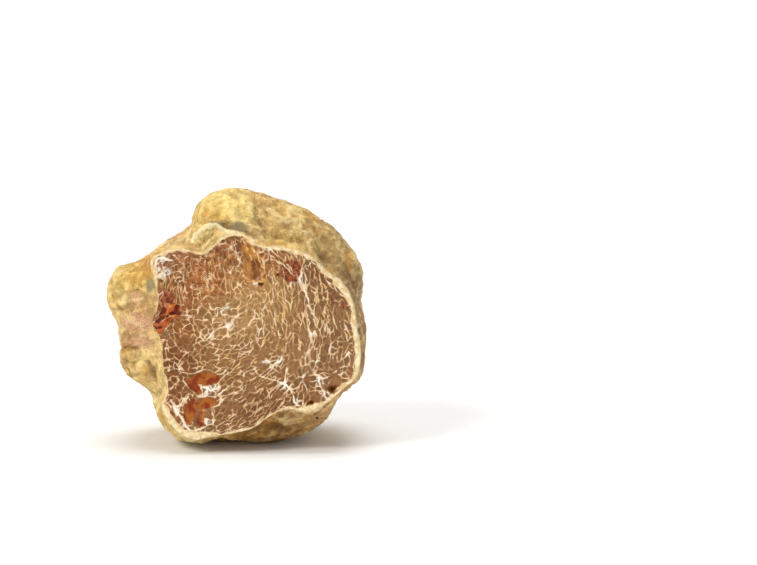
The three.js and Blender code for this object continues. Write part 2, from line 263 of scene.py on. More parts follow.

# Ridges (above 0) and creases (below 0): height, half width, and the points that each runs through. The
# rind's colour is paler on the ridges as painted highlight, and darker in the creases as painted shade.
RIND_FOLDS = [
    # The crescents of the fold in front of the top knob.
    (0.9, 0.75, [(-11.1, 55.1), (-9.5, 57.4), (-7.1, 59.4), (-4.8, 59.8), (-2.2, 58.2), (0.7, 57.6),
                 (2.9, 56.9), (5.3, 55.6)]),
    (0.6, 0.5, [(-8.1, 53.6), (-6.7, 55.2), (-5.0, 56.6), (-3.2, 57.6)]),
    (0.45, 0.3, [(-10.2, 54.2), (-8.8, 56.2), (-6.8, 57.8), (-4.6, 58.6), (-2.4, 57.9), (-0.4, 57.2)]),
    (-0.5, 0.35, [(-10.4, 55.6), (-8.8, 57.4), (-6.4, 58.9), (-4.4, 59.1), (-2.2, 58.0)]),
    (-0.5, 0.35, [(-9.2, 54.2), (-7.6, 56.2), (-5.8, 57.5), (-3.8, 58.0)]),
    (0.35, 0.4, [(-9.6, 59.4), (-8.2, 60.6), (-5.6, 61.6), (-2.6, 61.4), (0.6, 61.0), (3.4, 60.6)]),
    (0.4, 0.5, [(3.0, 60.4), (5.2, 59.6), (7.0, 58.0), (8.0, 56.2)]),
    (-0.4, 0.6, [(-9.0, 60.6), (-6.0, 61.2), (-3.0, 60.4), (0.0, 59.4), (3.4, 58.6), (6.4, 57.2)]),
    # On and beside the knob.
    (0.4, 0.7, [(0.9, 66.2), (2.9, 65.9), (4.5, 64.1), (5.3, 61.7)]),
    (0.4, 0.6, [(-11.0, 61.0), (-12.2, 58.4), (-12.6, 55.6)]),
    (-0.4, 1.6, [(5.6, 67.2), (6.2, 63.6), (7.6, 60.4), (9.0, 57.0)]),
    # The left lobe: ridges across its flat band, pale as painted highlight, and the creases between its
    # bumps, darker as painted shade.
    (0.35, 0.5, [(-34.2, 38.9), (-30.4, 38.7), (-27.0, 39.4), (-24.2, 40.2)]),
    (0.35, 0.35, [(-31.0, 35.4), (-27.0, 36.1), (-24.7, 37.0), (-23.7, 35.4), (-21.6, 35.4)]),
    (0.35, 0.5, [(-31.0, 30.4), (-27.0, 30.1), (-22.6, 29.2)]),
    (-0.5, 0.7, [(-34.8, 36.6), (-31.6, 36.6), (-29.4, 37.4)]),
    (-0.4, 0.6, [(-29.0, 41.8), (-26.4, 42.2), (-24.4, 41.2)]),
    (-0.6, 0.6, [(-31.8, 26.2), (-29.0, 26.6), (-26.0, 26.2)]),
    (-0.5, 0.45, [(-29.9, 20.4), (-28.5, 18.0), (-26.2, 19.0)]),
    (-0.5, 0.8, [(-24.8, 14.0), (-22.0, 13.2), (-19.8, 14.4)]),
    (-0.5, 0.7, [(-23.4, 22.0), (-22.0, 19.6), (-21.6, 17.2)]),
    (-0.4, 0.7, [(-30.6, 23.0), (-28.2, 22.0), (-26.2, 23.2), (-24.0, 22.4)]),
    (-0.35, 0.6, [(-27.4, 25.6), (-26.4, 23.4), (-27.0, 20.8)]),
    (-0.35, 0.6, [(-24.6, 19.0), (-23.2, 16.8), (-21.0, 16.0)]),
    (-0.4, 0.4, [(-33.6, 42.2), (-31.0, 42.6), (-29.2, 41.4)]),
    # The shoulder and the right cheek.
    (0.3, 1.2, [(9.0, 64.0), (14.0, 61.0), (20.0, 57.8), (25.6, 54.0)]),
    (-0.4, 0.8, [(12.0, 57.0), (17.0, 56.0), (22.4, 53.6), (26.4, 50.4)]),
    (0.25, 1.0, [(13.0, 66.0), (16.4, 62.6), (17.0, 59.4)]),
    (-0.35, 0.6, [(30.4, 50.6), (32.2, 46.6), (33.0, 43.0)]),
    # The underside.
    (-0.5, 1.2, [(2.0, 2.2), (7.0, 4.0), (12.0, 4.6)]),
]

# Patches of the rind: across, up, half length, half width and angle in degrees.
GREYED = [
    (1.3, 59.4, 3.0, 1.5, -8), (-4.6, 60.4, 3.4, 0.9, 6), (-22.6, 43.4, 2.4, 1.3, 90),
    (-31.2, 40.6, 1.2, 0.6, 70),
]
PINKISH = [(-26.4, 33.4, 5.0, 2.6, 0), (-26, 28.1, 4.2, 1.5, 0), (-27.0, 40.2, 2.6, 1.5, 10),
           (27.6, 9.0, 2.2, 1.2, 40)]
# Dark brown patches, which lie in creases and on the underside.
DARKENED_PATCHES = [
    (13.0, 4.4, 3.2, 1.8, -10), (-22.6, 19.6, 1.6, 1.2, 20), (8.6, 58.0, 1.2, 0.8, -40),
    (-2.4, 60.0, 1.4, 0.7, 10), (30.8, 46.4, 2.6, 1.6, -60), (14.5, 60.4, 2.0, 1.6, 0),
]
SPECKS = [(-26.5, 42.4, 0.5, 0.3, 0), (23.0, 6.6, 0.35, 0.3, 0), (22.5, 7.8, 0.22, 0.2, 0),
          (25.0, 6.6, 0.28, 0.25, 0), (-2.4, 59.9, 0.5, 0.3, -20), (0.8, 58.6, 0.7, 0.25, -20)]

# ---------------------------------------------------------------- small tools


def smoothstep(low, high, value):
    """Rises from 0 at low to 1 at high along 3t^2 - 2t^3, or falls where low is above high."""
    t = np.clip((value - low) / (high - low), 0, 1)
    return t * t * (3 - 2 * t)


LATTICE = 32  # the noise repeats after this many waves
SEED_SHIFT = 0.37  # each seed's noise also starts this much further on
NOISE_GAIN = 1.6  # brings the noise to about -1 to 1
FAR = 9.0  # a distance past the reach of any mark


def soft_noise(points, wave, seed):
    """Gradient noise, about -1 to 1: random slopes at the corners of squares or cubes that are one
    wave wide, each slope times the way from its corner, mixed by 6t^5 - 15t^4 + 10t^3."""
    sides = points.shape[1]
    slopes = np.random.default_rng(seed).normal(size=(LATTICE,) * sides + (sides,))
    slopes /= np.linalg.norm(slopes, axis=-1, keepdims=True)
    spot = points / wave + SEED_SHIFT * seed
    cell = np.floor(spot).astype(int)
    part = spot - cell
    ease = part**3 * (part * (part * 6 - 15) + 10)
    total = np.zeros(len(points))
    for corner in itertools.product((0, 1), repeat=sides):
        slope = slopes[tuple(((cell + corner) % LATTICE).T)]
        weight = np.prod(np.where(corner, ease, 1 - ease), axis=1)
        total += weight * ((part - corner) * slope).sum(axis=1)
    return NOISE_GAIN * total


def noises(points, waves, shift=0):
    """A sum of noises, each given as its height, its wave and its seed, which shift is added to."""
    return sum(high * soft_noise(points, wave, seed + shift) for high, wave, seed in waves)


def drifted(spots, points, *waves):
    """Moves spots across by a sum of noises over the points, and up by one with the next seeds."""
    return spots + np.stack([noises(points, waves, side) for side in (0, 1)], axis=1)


def turned(spots, across, up, angle):
    """How far each spot is from a place, along a direction in degrees and to the left of it."""
    turn = math.radians(angle)
    dx, dy = spots[:, 0] - across, spots[:, 1] - up
    return dx * math.cos(turn) + dy * math.sin(turn), dy * math.cos(turn) - dx * math.sin(turn)


def bell(spots, across, up, reach):
    """A bell curve round a place: e to the power of -(distance / reach)^2."""
    return np.exp(-((spots - (across, up)) ** 2).sum(axis=1) / reach**2)


def bells(spots, marks):
    """The sum of the marks' bell curves, each of them its own height."""
    return sum(height * bell(spots, across, up, reach) for across, up, reach, height in marks)


def line_bell(spots, line, half_width):
    """A bell curve of the distance from a line."""
    return np.exp(-((line_distance(spots, line) / half_width) ** 2))


def spot_depth(spots, patches):
    """How far inside the nearest of these ellipses each spot is, in millimetres; below 0 is outside.
    It is (1 - the distance in the ellipse's own radii) times the ellipse's half width."""
    depth = np.full(len(spots), -FAR)
    for across, up, length, width, angle in patches:
        along, aside = turned(spots, across, up, angle)
        depth = np.maximum(depth, (1 - np.hypot(along / length, aside / width)) * width)
    return depth


def line_distance(spots, line):
    """The distance from each spot to the nearest point of a line of straight stretches."""
    nearest = np.full(len(spots), np.inf)
    for start, end in zip(np.array(line[:-1]), np.array(line[1:])):
        way = end - start
        share = np.clip((spots - start) @ way / (way @ way), 0, 1)
        nearest = np.minimum(nearest, np.linalg.norm(spots - start - share[:, None] * way, axis=1))
    return nearest


def linear(colour):
    """An 8-bit screen colour as the linear numbers that a shader works in."""
    part = np.array(colour, float) / 255
    return np.where(part <= 0.04045, part / 12.92, ((part + 0.055) / 1.055) ** 2.4)


def tinted(spots, tints, base, hold):
    """The mean of the base colour and the tints' colours, each weighed by a bell curve round its
    place. hold is the base colour's weight."""
    total = np.tile(linear(base) * hold, (len(spots), 1))
    weight = np.full(len(spots), float(hold))
    for across, up, reach, colour in tints:
        share = bell(spots, across, up, reach)
        total += share[:, None] * linear(colour)
        weight += share
    return total / weight[:, None]


# ---------------------------------------------------------------- the plain body


def radius_of(outline):
    """An outline as a function of the angle: the distance from the hub to the closed Catmull-Rom
    curve through its points."""
    b = np.array(outline)
    a, c, d = np.roll(b, 1, axis=0), np.roll(b, -1, axis=0), np.roll(b, -2, axis=0)
    t = (np.arange(CURVE_STEPS) / CURVE_STEPS)[:, None, None]
    curve = b + 0.5 * t * ((c - a) + t * ((2 * a - 5 * b + 4 * c - d) + t * (3 * (b - c) + d - a)))
    way = curve.reshape(-1, 2) - HUB
    angle, distance = np.arctan2(way[:, 1], way[:, 0]) % math.tau, np.hypot(way[:, 0], way[:, 1])
    order = np.argsort(angle)
    return lambda at: np.interp(at % math.tau, angle[order], distance[order], period=math.tau)


def round_hub(distance, angle):
    """Spots at these distances and angles from the hub."""
    return np.stack([HUB[0] + distance * np.cos(angle), HUB[1] + distance * np.sin(angle)], axis=-1)


cut_radius = radius_of(CUT_EDGE)
outline_radius = radius_of(BODY_OUTLINE)


def body_radius(angle):
    """The widest distance from the hub at each angle."""
    return np.maximum(outline_radius(angle), OVERHANG * cut_radius(angle))


def back_radius(angle):
    """The widest distance with its lobes evened out, as the mean over an arc."""
    turns = SMOOTHING_ARC * np.arange(-ARC_STEPS, ARC_STEPS + 1) / ARC_STEPS
    return np.mean([body_radius(angle + turn) for turn in turns], axis=0)


def profile_point(angle, front, back):
    """A point of the plain body. At each angle the profile is a quarter of an ellipse from the cut
    edge to the widest outline, as front goes from 0 to 1, and then a quarter of another one in to the
    back, as back goes from 0 to 1."""
    cut, widest = cut_radius(angle), body_radius(angle)
    start = np.arcsin(cut / widest)
    t = np.where(back > 0, math.pi / 2 * (1 + back), np.arccos(np.cos(start) * (1 - front)))
    outer = widest + (back_radius(angle) - widest) * smoothstep(EVEN_FROM, EVEN_BY, t)
    deep = np.where(back > 0, BELLY_DEPTH - (DEPTH - BELLY_DEPTH) * np.cos(t), BELLY_DEPTH * front)
    spots = round_hub(np.minimum(outer * np.sin(t), widest), angle)
    return np.concatenate([spots, deep[..., None]], axis=-1)


def with_lumps(points):
    """Pushes each point out from the middle of the body by the sum of the lumps' bell curves."""
    out = points - (HUB[0], HUB[1], BELLY_DEPTH)
    out /= np.linalg.norm(out, axis=-1, keepdims=True)
    push = np.zeros(points.shape[:-1])
    for across, up, deep, wide, high in LUMPS:
        away = np.linalg.norm(points - (across, up, deep), axis=-1)
        push += high * np.exp(-((away / wide) ** 2))
    return points + out * (push * smoothstep(0, LUMPS_START, points[..., 2]))[..., None]


# ---------------------------------------------------------------- the cut face

VEIN_CELL, MAIN_CELL, TWIG_CELL = 1.75, 4.8, 1.05  # how wide the cells between veins are
CELL_REACH = 4  # a wall's two cells lie within this many cells of it
CELL_PULL = 0.5  # how strongly the flow stretches the cells
CELL_JITTER = 0.42  # how far a cell's point is from the middle of its square
CELL_LATTICE = 64  # the random cells repeat after this many
FLOW_REACH = 4.5 * math.sqrt(2)  # how far one direction of the flow counts
BREAK = 0.5  # a broken vein counts as this much further away
LINE_WIDTH = 0.16  # the half width that the finish gives a main vein

# Between which values of a noise, or of the distance to a vein, each of these comes in.
VEIN_BREAKS, MAIN_BREAKS = (-0.22, -0.36), (-0.2, -0.42)
TWIGS_KEPT, TWIGS_NEAR = (0.34, 0.44), (0.7, 0.25)
LONG_VEIN_GAPS = (-0.4, -0.6)
LONG_VEIN_EDGE = (1.08, 0.82)  # of the ellipse's radius: where long veins begin and are full
LONG_VEIN_WAVES = [(1.3, 8, 0), (0.45, 3, 1), (0.18, 1.3, 2)]


def vein_flow(spots):
    """The angle in which the marbling runs at each spot, and how strongly, as the mean of the given
    directions (as doubled angles), each weighed by a bell curve round its place."""
    sums = np.zeros((3, len(spots)))
    for across, up, angle, strength in VEIN_FLOW:
        share = bell(spots, across, up, FLOW_REACH) + 1e-5
        turn = math.radians(2 * angle)
        sums += share * np.array([[strength * math.cos(turn)], [strength * math.sin(turn)], [1]])
    c, s = sums[:2] / sums[2]
    return 0.5 * np.arctan2(s, c), np.hypot(c, s)


def cell_walls(spots, cell, seed):
    """Splits the face into cells round one random point in each square of a grid, by distances that
    the flow stretches. The spots are moved first by noise, whose short waves are weaker where the
    flow is strong. Gives the distance to the nearest wall, which is (d2^2 - d1^2) over the length of
    its slope, how much that wall runs along the flow, and a random number for each cell."""
    rng = np.random.default_rng(seed)
    jitter = rng.uniform(-CELL_JITTER, CELL_JITTER, (CELL_LATTICE, CELL_LATTICE, 2))
    tones = rng.uniform(-1, 1, (CELL_LATTICE, CELL_LATTICE))
    curly = np.clip(0.4 - 0.27 * vein_flow(spots)[1], 0.08, 0.4)
    bent = drifted(spots, spots, (0.85, 4.9, seed + 1), (0.28, 2, seed + 11), (curly, 1.25, seed + 21))
    angle, strength = vein_flow(bent)
    stretch = np.exp(CELL_PULL * strength)
    c, s = np.cos(angle), np.sin(angle)

    def pulled(way, pull):
        return (way[:, 0] * c + way[:, 1] * s) / pull, (way[:, 1] * c - way[:, 0] * s) * pull

    # For each spot, the nearest and the next point, as rows: distance squared, across, up, tone.
    home = np.floor(bent / cell).astype(int)
    nearest, second = np.full((2, 4, len(spots)), np.inf)
    for step in itertools.product(range(-CELL_REACH, CELL_REACH + 1), repeat=2):
        at = home + step
        place = tuple((at % CELL_LATTICE).T)
        centre = (at + 0.5 + jitter[place]) * cell
        along, aside = pulled(bent - centre, stretch)
        found = np.stack([along**2 + aside**2, centre[:, 0], centre[:, 1], tones[place]])
        second = np.where(found[0] < nearest[0], nearest, np.where(found[0] < second[0], found, second))
        nearest = np.where(found[0] < nearest[0], found, nearest)
    along, aside = pulled((second - nearest)[1:3].T, stretch**2)
    slope = np.hypot(along, aside) + 1e-9
    away = (second[0] - nearest[0]) / (2 * slope)
    return away, 1 - np.abs(along) / slope * strength, nearest[3]


def long_veins(spots):
    """The distance to the nearest long vein, and how much long veins fill each spot. Inside each
    ellipse, evenly spaced stripes are bent sideways by noise of three sizes, and a vein is the middle
    of a stripe, with gaps here and there along it."""
    nearest, filled = np.full(len(spots), FAR), np.zeros(len(spots))
    for number, (across, up, angle, spacing, length, width) in enumerate(LONG_VEINS):
        seed = 100 + 5 * number
        along, aside = turned(spots, across, up, angle)
        inside = smoothstep(*LONG_VEIN_EDGE, np.hypot(along / length, aside / width))
        bent = aside + noises(spots, LONG_VEIN_WAVES, seed)
        stripe = np.floor(bent / spacing)
        away = np.abs(bent - (stripe + 0.5) * spacing)
        # In the noise of the gaps, stripes are 7.3 mm apart, so that each has gaps of its own.
        gap = smoothstep(*LONG_VEIN_GAPS, soft_noise(np.stack([along, 7.3 * stripe], axis=1), 5, seed + 3))
        nearest = np.minimum(nearest, away + 0.6 * (1 - inside) + 0.6 * gap)
        filled = np.maximum(filled, inside)
    return nearest, filled


def marbling(spots):
    """The distances, in millimetres, to the nearest main vein, vein and twig, less how much each is
    swollen there, how near a white knot is, how faint the marbling is, and the cell's random tone and
    distance from its wall. A broken vein's distance grows past its width. Twigs start at veins."""
    walls, aligned, tone = cell_walls(spots, VEIN_CELL, 3)
    main_walls, _, _ = cell_walls(spots, MAIN_CELL, 11)
    twig_walls, _, _ = cell_walls(spots, TWIG_CELL, 17)
    # Veins that run across the flow break more often than those along it.
    broken = smoothstep(*VEIN_BREAKS, soft_noise(spots, 2.9, 21) + 0.4 * (aligned - 0.68))
    main_broken = smoothstep(*MAIN_BREAKS, soft_noise(spots, 6, 22))
    twig_kept = smoothstep(*TWIGS_KEPT, soft_noise(spots, 2.3, 23)) * smoothstep(*TWIGS_NEAR, walls)
    knot = np.clip(bells(spots, KNOTS), 0, 1.2)
    swell = 0.1 * soft_noise(spots, 2.6, 24) + 0.11 * knot
    faint = np.clip(bells(spots, FAINT) + 0.45 * soft_noise(spots, 4, 25), 0, 0.75)
    long_vein, filled = long_veins(spots)
    main = main_walls + 0.05 + BREAK * np.maximum(main_broken, 0.5 * filled)
    bent = drifted(spots, spots, (0.7, 3.4, 31), (0.3, 1.5, 33))
    for half_width, line in MAIN_VEINS:
        main = np.minimum(main, line_distance(bent, line) - (half_width - LINE_WIDTH))
    return {
        "vein": np.minimum(walls + BREAK * broken, long_vein) - swell,
        "main_vein": main - swell,
        "twig": twig_walls + 0.4 * (1 - twig_kept),
        "knot": knot,
        "faint": faint,
        "cell_tone": tone,
        "cell_middle": walls,
    }


def face_grid():
    """The cut face's spots as a square grid. A square is bent to a disc, so that rings of squares
    become rings of equal angles, and the disc is then stretched to the cut edge."""
    a, b = np.meshgrid(*[np.linspace(-1, 1, FACE_STEPS + 1)] * 2, indexing="ij")
    wide = np.abs(a) >= np.abs(b)
    big = np.where(wide, a, b)
    ratio = np.divide(np.where(wide, b, a), big, out=np.zeros_like(a), where=big != 0)
    angle = np.where(wide, math.pi / 4 * ratio, math.pi / 2 - math.pi / 4 * ratio)
    angle = np.where(big < 0, angle + math.pi, angle)
    return round_hub(np.abs(big) * cut_radius(angle), angle)


def rim_walk():
    """The grid places of the cut edge, anticlockwise from the hub's right, as rows and columns."""
    n, half = FACE_STEPS, FACE_STEPS // 2
    up, down = np.arange(n), np.arange(n, 0, -1)
    rows = np.concatenate([np.full(half, n), down, np.zeros(n, int), up, np.full(half, n)])
    columns = np.concatenate([up[half:], np.full(n, n), down, np.zeros(n, int), up[:half]])
    return rows, columns


SHRED_ANGLE = 28  # the direction of the shreds in the rust-coloured patch, in degrees
SHRED_PULL = 0.25  # along them, the noise is squeezed to this


def face_marks(spots):
    """Everything that the flesh's finish and relief read, for each spot of the cut face: the
    marbling, the height of torn edges, streaks for the shreds, how frayed the flesh is, the distance
    from the cut edge less what the rim is wider by, and how deep inside each kind of patch it is."""
    angle = np.linspace(0, math.tau, 4 * FACE_STEPS, endpoint=False)
    edge = round_hub(cut_radius(angle), angle)
    # The distances to all edge points are worked out for a part of the spots at a time.
    rim = np.concatenate([
        np.sqrt(((part[:, None] - edge) ** 2).sum(axis=2).min(axis=1))
        for part in np.array_split(spots, 64)
    ])
    ragged = drifted(spots, spots, (0.5, 2.0, 41))
    along, aside = turned(ragged, 0, 0, SHRED_ANGLE)
    patches = {
        "amber": AMBER, "rust": RUST, "crimson": CRIMSON, "smooth_flap": SMOOTH_FLAP,
        "bleached": BLEACHED, "pit": PITS,
    }
    return {
        **marbling(spots),
        "torn": np.max([high * line_bell(ragged, line, half) for high, half, line in TORN_EDGES], axis=0),
        "shred": soft_noise(np.stack([SHRED_PULL * along, aside], axis=1), 0.9, 45),
        "frayed": np.clip(bells(ragged, FRAYED), 0, 1),
        "rim": rim - bells(spots, RIM_EXTRA) * smoothstep(6, 2, rim),
        **{name: spot_depth(ragged, places) for name, places in patches.items()},
    }


KNIFE_WAVES = [(0.22, 11, 51), (0.08, 3.2, 52)]
FRAYED_WAVES = [(0.45, 2.6, 53), (0.22, 1.1, 54)]

# How high each patch stands, and how deep inside it that starts and is reached.
PATCH_RELIEF = {"amber": (-0.4, -0.15, 0.35), "smooth_flap": (-0.9, -0.3, 1.0), "pit": (-1.3, -0.1, 0.6)}


def face_relief(spots, marks):
    """How far each spot of the cut face stands out, in millimetres: slow waves of the knife, veins a
    little proud, cells a little sunk, the flap, glassy patches and pits sunk, torn edges and shreds
    raised, and frayed flesh rough. It all fades out towards the rim, which stands a little proud."""
    vein = np.minimum(marks["vein"], marks["main_vein"])
    high = noises(spots, KNIFE_WAVES) + marks["frayed"] * noises(spots, FRAYED_WAVES) + marks["torn"]
    high += 0.09 * smoothstep(0.3, 0.05, vein) - 0.07 * smoothstep(0.25, 0.8, marks["cell_middle"])
    for name, (height, start, full) in PATCH_RELIEF.items():
        high += height * smoothstep(start, full, marks[name])
    high += 0.4 * smoothstep(-0.2, 0.5, marks["rust"]) * (0.4 + 1.5 * marks["shred"])
    from_edge = marks["rim"] + bells(spots, RIM_EXTRA)
    return high * smoothstep(0, 1.2, from_edge) + 0.14 * smoothstep(1.1, 0.3, marks["rim"])


# ---------------------------------------------------------------- the rind


def rind_grid():
    """The rind's points, as rings from the cut edge to the back and columns round the body."""
    angle = np.arange(COLUMNS) * math.tau / COLUMNS
    front = np.concatenate([np.arange(FRONT_RINGS) / FRONT_RINGS, np.ones(BACK_RINGS)])
    back = np.concatenate([np.zeros(FRONT_RINGS), np.arange(BACK_RINGS) / BACK_RINGS])
    return with_lumps(profile_point(angle[None], front[:, None], back[:, None]))


def outward(grid):
    """The unit normals of a ring-by-column grid, as the cross product of its two directions."""
    along = np.gradient(grid, axis=0)
    around = np.roll(grid, -1, axis=1) - np.roll(grid, 1, axis=1)
    normal = np.cross(around, along)
    return normal / np.linalg.norm(normal, axis=-1, keepdims=True)


OCHRE, PALE_OCHRE, DARK_OCHRE = (linear(c) for c in ((216, 180, 112), (240, 214, 156), (186, 144, 92)))
ROSY_LEAN = linear((222, 178, 124)) - linear((208, 172, 100))  # what the small mottling adds
PLAIN_RIND = (210, 174, 112)  # where no tint is near
STREAK_GIRTH = 30  # streaks are placed round a circle of this radius, so that they are narrow
STREAK_PULL = 0.22  # away from the hub and backwards, the streaks' noise is squeezed to this


def rind_marks(points):
    """For each point of the rind, the height of its folds, and its marks: its tint, which holds painted
    highlight and painted shade, streaks that run away from the cut, the height of ridges and creases, and
    how deep inside each kind of patch it is.
    What is placed by across and up is on the half in front of the belly; noise makes the rest."""
    spots, deep = points[:, :2], points[:, 2]
    bent = drifted(spots, points, (0.45, 2.4, 61))
    facing = smoothstep(BELLY_DEPTH + 4, BELLY_DEPTH - 4, deep)
    folds = np.array([height * line_bell(bent, line, half) for height, half, line in RIND_FOLDS]) * facing
    drift = soft_noise(points, 13, 71)[:, None]
    back = OCHRE + 1.2 * np.abs(drift) * (np.where(drift > 0, PALE_OCHRE, DARK_OCHRE) - OCHRE)
    back += 0.8 * soft_noise(points, 5.5, 72)[:, None] * ROSY_LEAN
    # The front tints carry painted highlight and painted shade along with the rind's own colour.
    front = tinted(spots, RIND_TINTS_AND_LIGHT, PLAIN_RIND, 0.12)
    way = spots - HUB
    distance = np.linalg.norm(way, axis=1)
    round_circle = STREAK_GIRTH * way / (distance[:, None] + 1e-9)
    streaky = np.insert(round_circle, 2, STREAK_PULL * (distance + deep), axis=1)
    patches = {"greyed": GREYED, "pinkish": PINKISH, "darkened": DARKENED_PATCHES, "speck": SPECKS}
    return folds.sum(axis=0), {
        "rind_tint_and_light": np.clip(back + (front - back) * facing[:, None], 0.01, 1),
        "streak": noises(streaky, [(1, 1.3, 75), (0.5, 0.7, 76)]),
        "ridge": np.maximum(folds.max(axis=0), 0),
        "crease": np.maximum(-folds.min(axis=0), 0),
        **{name: spot_depth(bent, places) - FAR * (1 - facing) for name, places in patches.items()},
    }


# Bumps of the rind: height, wave, seed, how much of the height is everywhere, and how much more of it
# there is in bumpy patches.
RIND_BUMPS = [(0.9, 9, 81, 1, 0), (1.3, 4.6, 82, 0.45, 0.5), (0.75, 2.2, 84, 0.3, 1)]
BUMP_LEVEL = 0.28  # a bump stands out where |noise| is less than this
WRINKLE_DEPTH, WRINKLE_WIDTH = 0.3, 0.035  # in millimetres, and as a value of the noise


def rind_relief(points):
    """How far each point of the rind stands out, in millimetres: round bumps of three sizes, as a
    level - |noise|, the small ones in patches, and thin wrinkles where a slow noise crosses 0."""
    patchy = smoothstep(-0.2, 0.3, soft_noise(points, 11, 83))
    bumps = sum(
        height * (BUMP_LEVEL - np.abs(soft_noise(points, wave, seed))) * (even + more * patchy)
        for height, wave, seed, even, more in RIND_BUMPS
    )
    wrinkle = np.exp(-((soft_noise(points, 10, 85) / WRINKLE_WIDTH) ** 2))
    return bumps - WRINKLE_DEPTH * wrinkle * smoothstep(-0.1, 0.3, soft_noise(points, 7, 86))


# ---------------------------------------------------------------- putting the surface together

RIM_FADE = 1.6  # the rind's relief reaches its full height this far behind the cut


def placed(points):
    """From across, up and deep to the frame's directions: deep becomes +Y, and all leans back."""
    across, up, deep = np.moveaxis(points, -1, 0)
    return np.stack([
        across,
        deep * math.cos(LEAN) + up * math.sin(LEAN),
        up * math.cos(LEAN) - deep * math.sin(LEAN),
    ], axis=-1)


def into_frame(plain, points):
    """Scales and moves points, so that the plain body's box lies on the frame's, and flattens what
    is under the floor."""
    low, high = plain.min(axis=0), plain.max(axis=0)
    ground = low[2] + FLOOR_CUT
    cad_low, cad_high = (np.array(corner) for corner in cad_box)
    scale = (cad_high[0] - cad_low[0]) / (high[0] - low[0])
    middle = (low + high) / 2
    cad_middle = (cad_low + cad_high) / 2
    moved = (points - (*middle[:2], ground)) * scale + (*cad_middle[:2], cad_low[2])
    moved[:, 2] = np.maximum(moved[:, 2], cad_low[2])
    return moved


def marked_points():
    """All points of the surface in the frame, and every mark as an array over them. The cut face's
    points are first, then the rind's, ring by ring, then the middle of the back. A mark of the flesh
    is 0 on the rind. The rind's marks are worked out on the cut face too, because both parts share
    the points of the cut edge."""
    flat = face_grid().reshape(-1, 2)
    level = np.insert(flat, 2, 0, axis=1)
    marks = face_marks(flat)
    face = np.insert(flat, 2, -face_relief(flat, marks), axis=1)

    grid = rind_grid()
    back = with_lumps(profile_point(np.zeros(1), np.ones(1), np.ones(1)))
    rind = np.concatenate([grid[1:].reshape(-1, 3), back])
    normals = np.concatenate([outward(grid)[1:].reshape(-1, 3), [[0, 0, 1]]])
    fold, rind_marked = rind_marks(rind)
    _, edge_marked = rind_marks(level)
    from_cut = np.linalg.norm(np.diff(grid, axis=0), axis=-1).cumsum(axis=0)
    rind_marked["from_cut"] = np.append(from_cut, from_cut.max()) - bells(rind[:, :2], RIM_EXTRA)
    edge_marked["from_cut"] = -bells(flat, RIM_EXTRA)
    rind_marked["raised"] = (rind_relief(rind) + fold) * smoothstep(0, RIM_FADE, rind[:, 2])
    edge_marked["raised"] = np.zeros(len(flat))

    marks["flesh_tint"] = tinted(flat, FLESH_TINTS, PLAIN_FLESH, 0.1)
    every = {
        name: np.concatenate([values, np.zeros((len(rind), *values.shape[1:]))])
        for name, values in marks.items()
    }
    every |= {name: np.concatenate([edge_marked[name], values]) for name, values in rind_marked.items()}
    lifted = np.concatenate([face, rind + normals * rind_marked["raised"][:, None]])
    return into_frame(placed(np.concatenate([level, rind])), placed(lifted)), every


def faces_by_kind():
    """The faces as arrays of point numbers: squares of flesh, five-sided joins along the cut edge,
    whose fifth point is every second one of the finer edge, squares of rind, and the back's fan."""
    n = FACE_STEPS
    place = np.arange((n + 1) ** 2).reshape(n + 1, n + 1)
    flesh = np.stack([place[:-1, :-1], place[1:, :-1], place[1:, 1:], place[:-1, 1:]], axis=-1)
    rim = place[rim_walk()]
    rings = place.size + np.arange((RINGS - 1) * COLUMNS).reshape(-1, COLUMNS)
    after = np.roll(rings, -1, axis=1)
    joins = np.stack([rim[0::2], rings[0], after[0], np.roll(rim, -2)[0::2], rim[1::2]], axis=-1)
    squares = np.stack([rings[:-1], rings[1:], after[1:], after[:-1]], axis=-1)
    fan = np.stack([rings[-1], np.full(COLUMNS, place.size + rings.size), after[-1]], axis=-1)
    return [flesh.reshape(-1, 4), joins, squares.reshape(-1, 4), fan]


FACE_SHARE = 0.66  # of the bake map's side, for the cut face
MAP_GAP = 0.004  # left free round each part of it


def strip_faces(first, rows, corners):
    """The bake map of some rows of the rind's faces. A face's corners are given as rings and columns
    from its own, rings run up the map above the cut face's square, and columns run across it."""
    ring, column = np.array(corners).T
    ring = ring + np.arange(first, first + rows)[:, None, None]
    column = column + np.arange(COLUMNS)[:, None]
    across = MAP_GAP + column / COLUMNS * (1 - 2 * MAP_GAP)
    up = FACE_SHARE + MAP_GAP + ring / RINGS * (1 - FACE_SHARE - 2 * MAP_GAP)
    return np.stack(np.broadcast_arrays(across, up), axis=-1).reshape(-1, 2)


def bake_map(flesh):
    """The bake map of all faces, in their order: the cut face gets a large square, and the rind is a
    strip above it."""
    spots = face_grid().reshape(-1, 2)
    low, span = spots.min(axis=0), np.ptp(spots, axis=0).max()
    on_face = MAP_GAP + (spots - low) / span * (FACE_SHARE - 2 * MAP_GAP)
    square = [(0, 0), (1, 0), (1, 1), (0, 1)]
    return np.concatenate([
        on_face[flesh.ravel()],
        strip_faces(0, 1, square + [(0, 0.5)]),
        strip_faces(1, RINGS - 2, square),
        strip_faces(RINGS - 1, 1, [(0, 0), (1, 0.5), (0, 1)]),
    ])


def added(name, data):
    """A new object with this data, in the scene."""
    made = bpy.data.objects.new(name, data)
    bpy.context.scene.collection.objects.link(made)
    return made


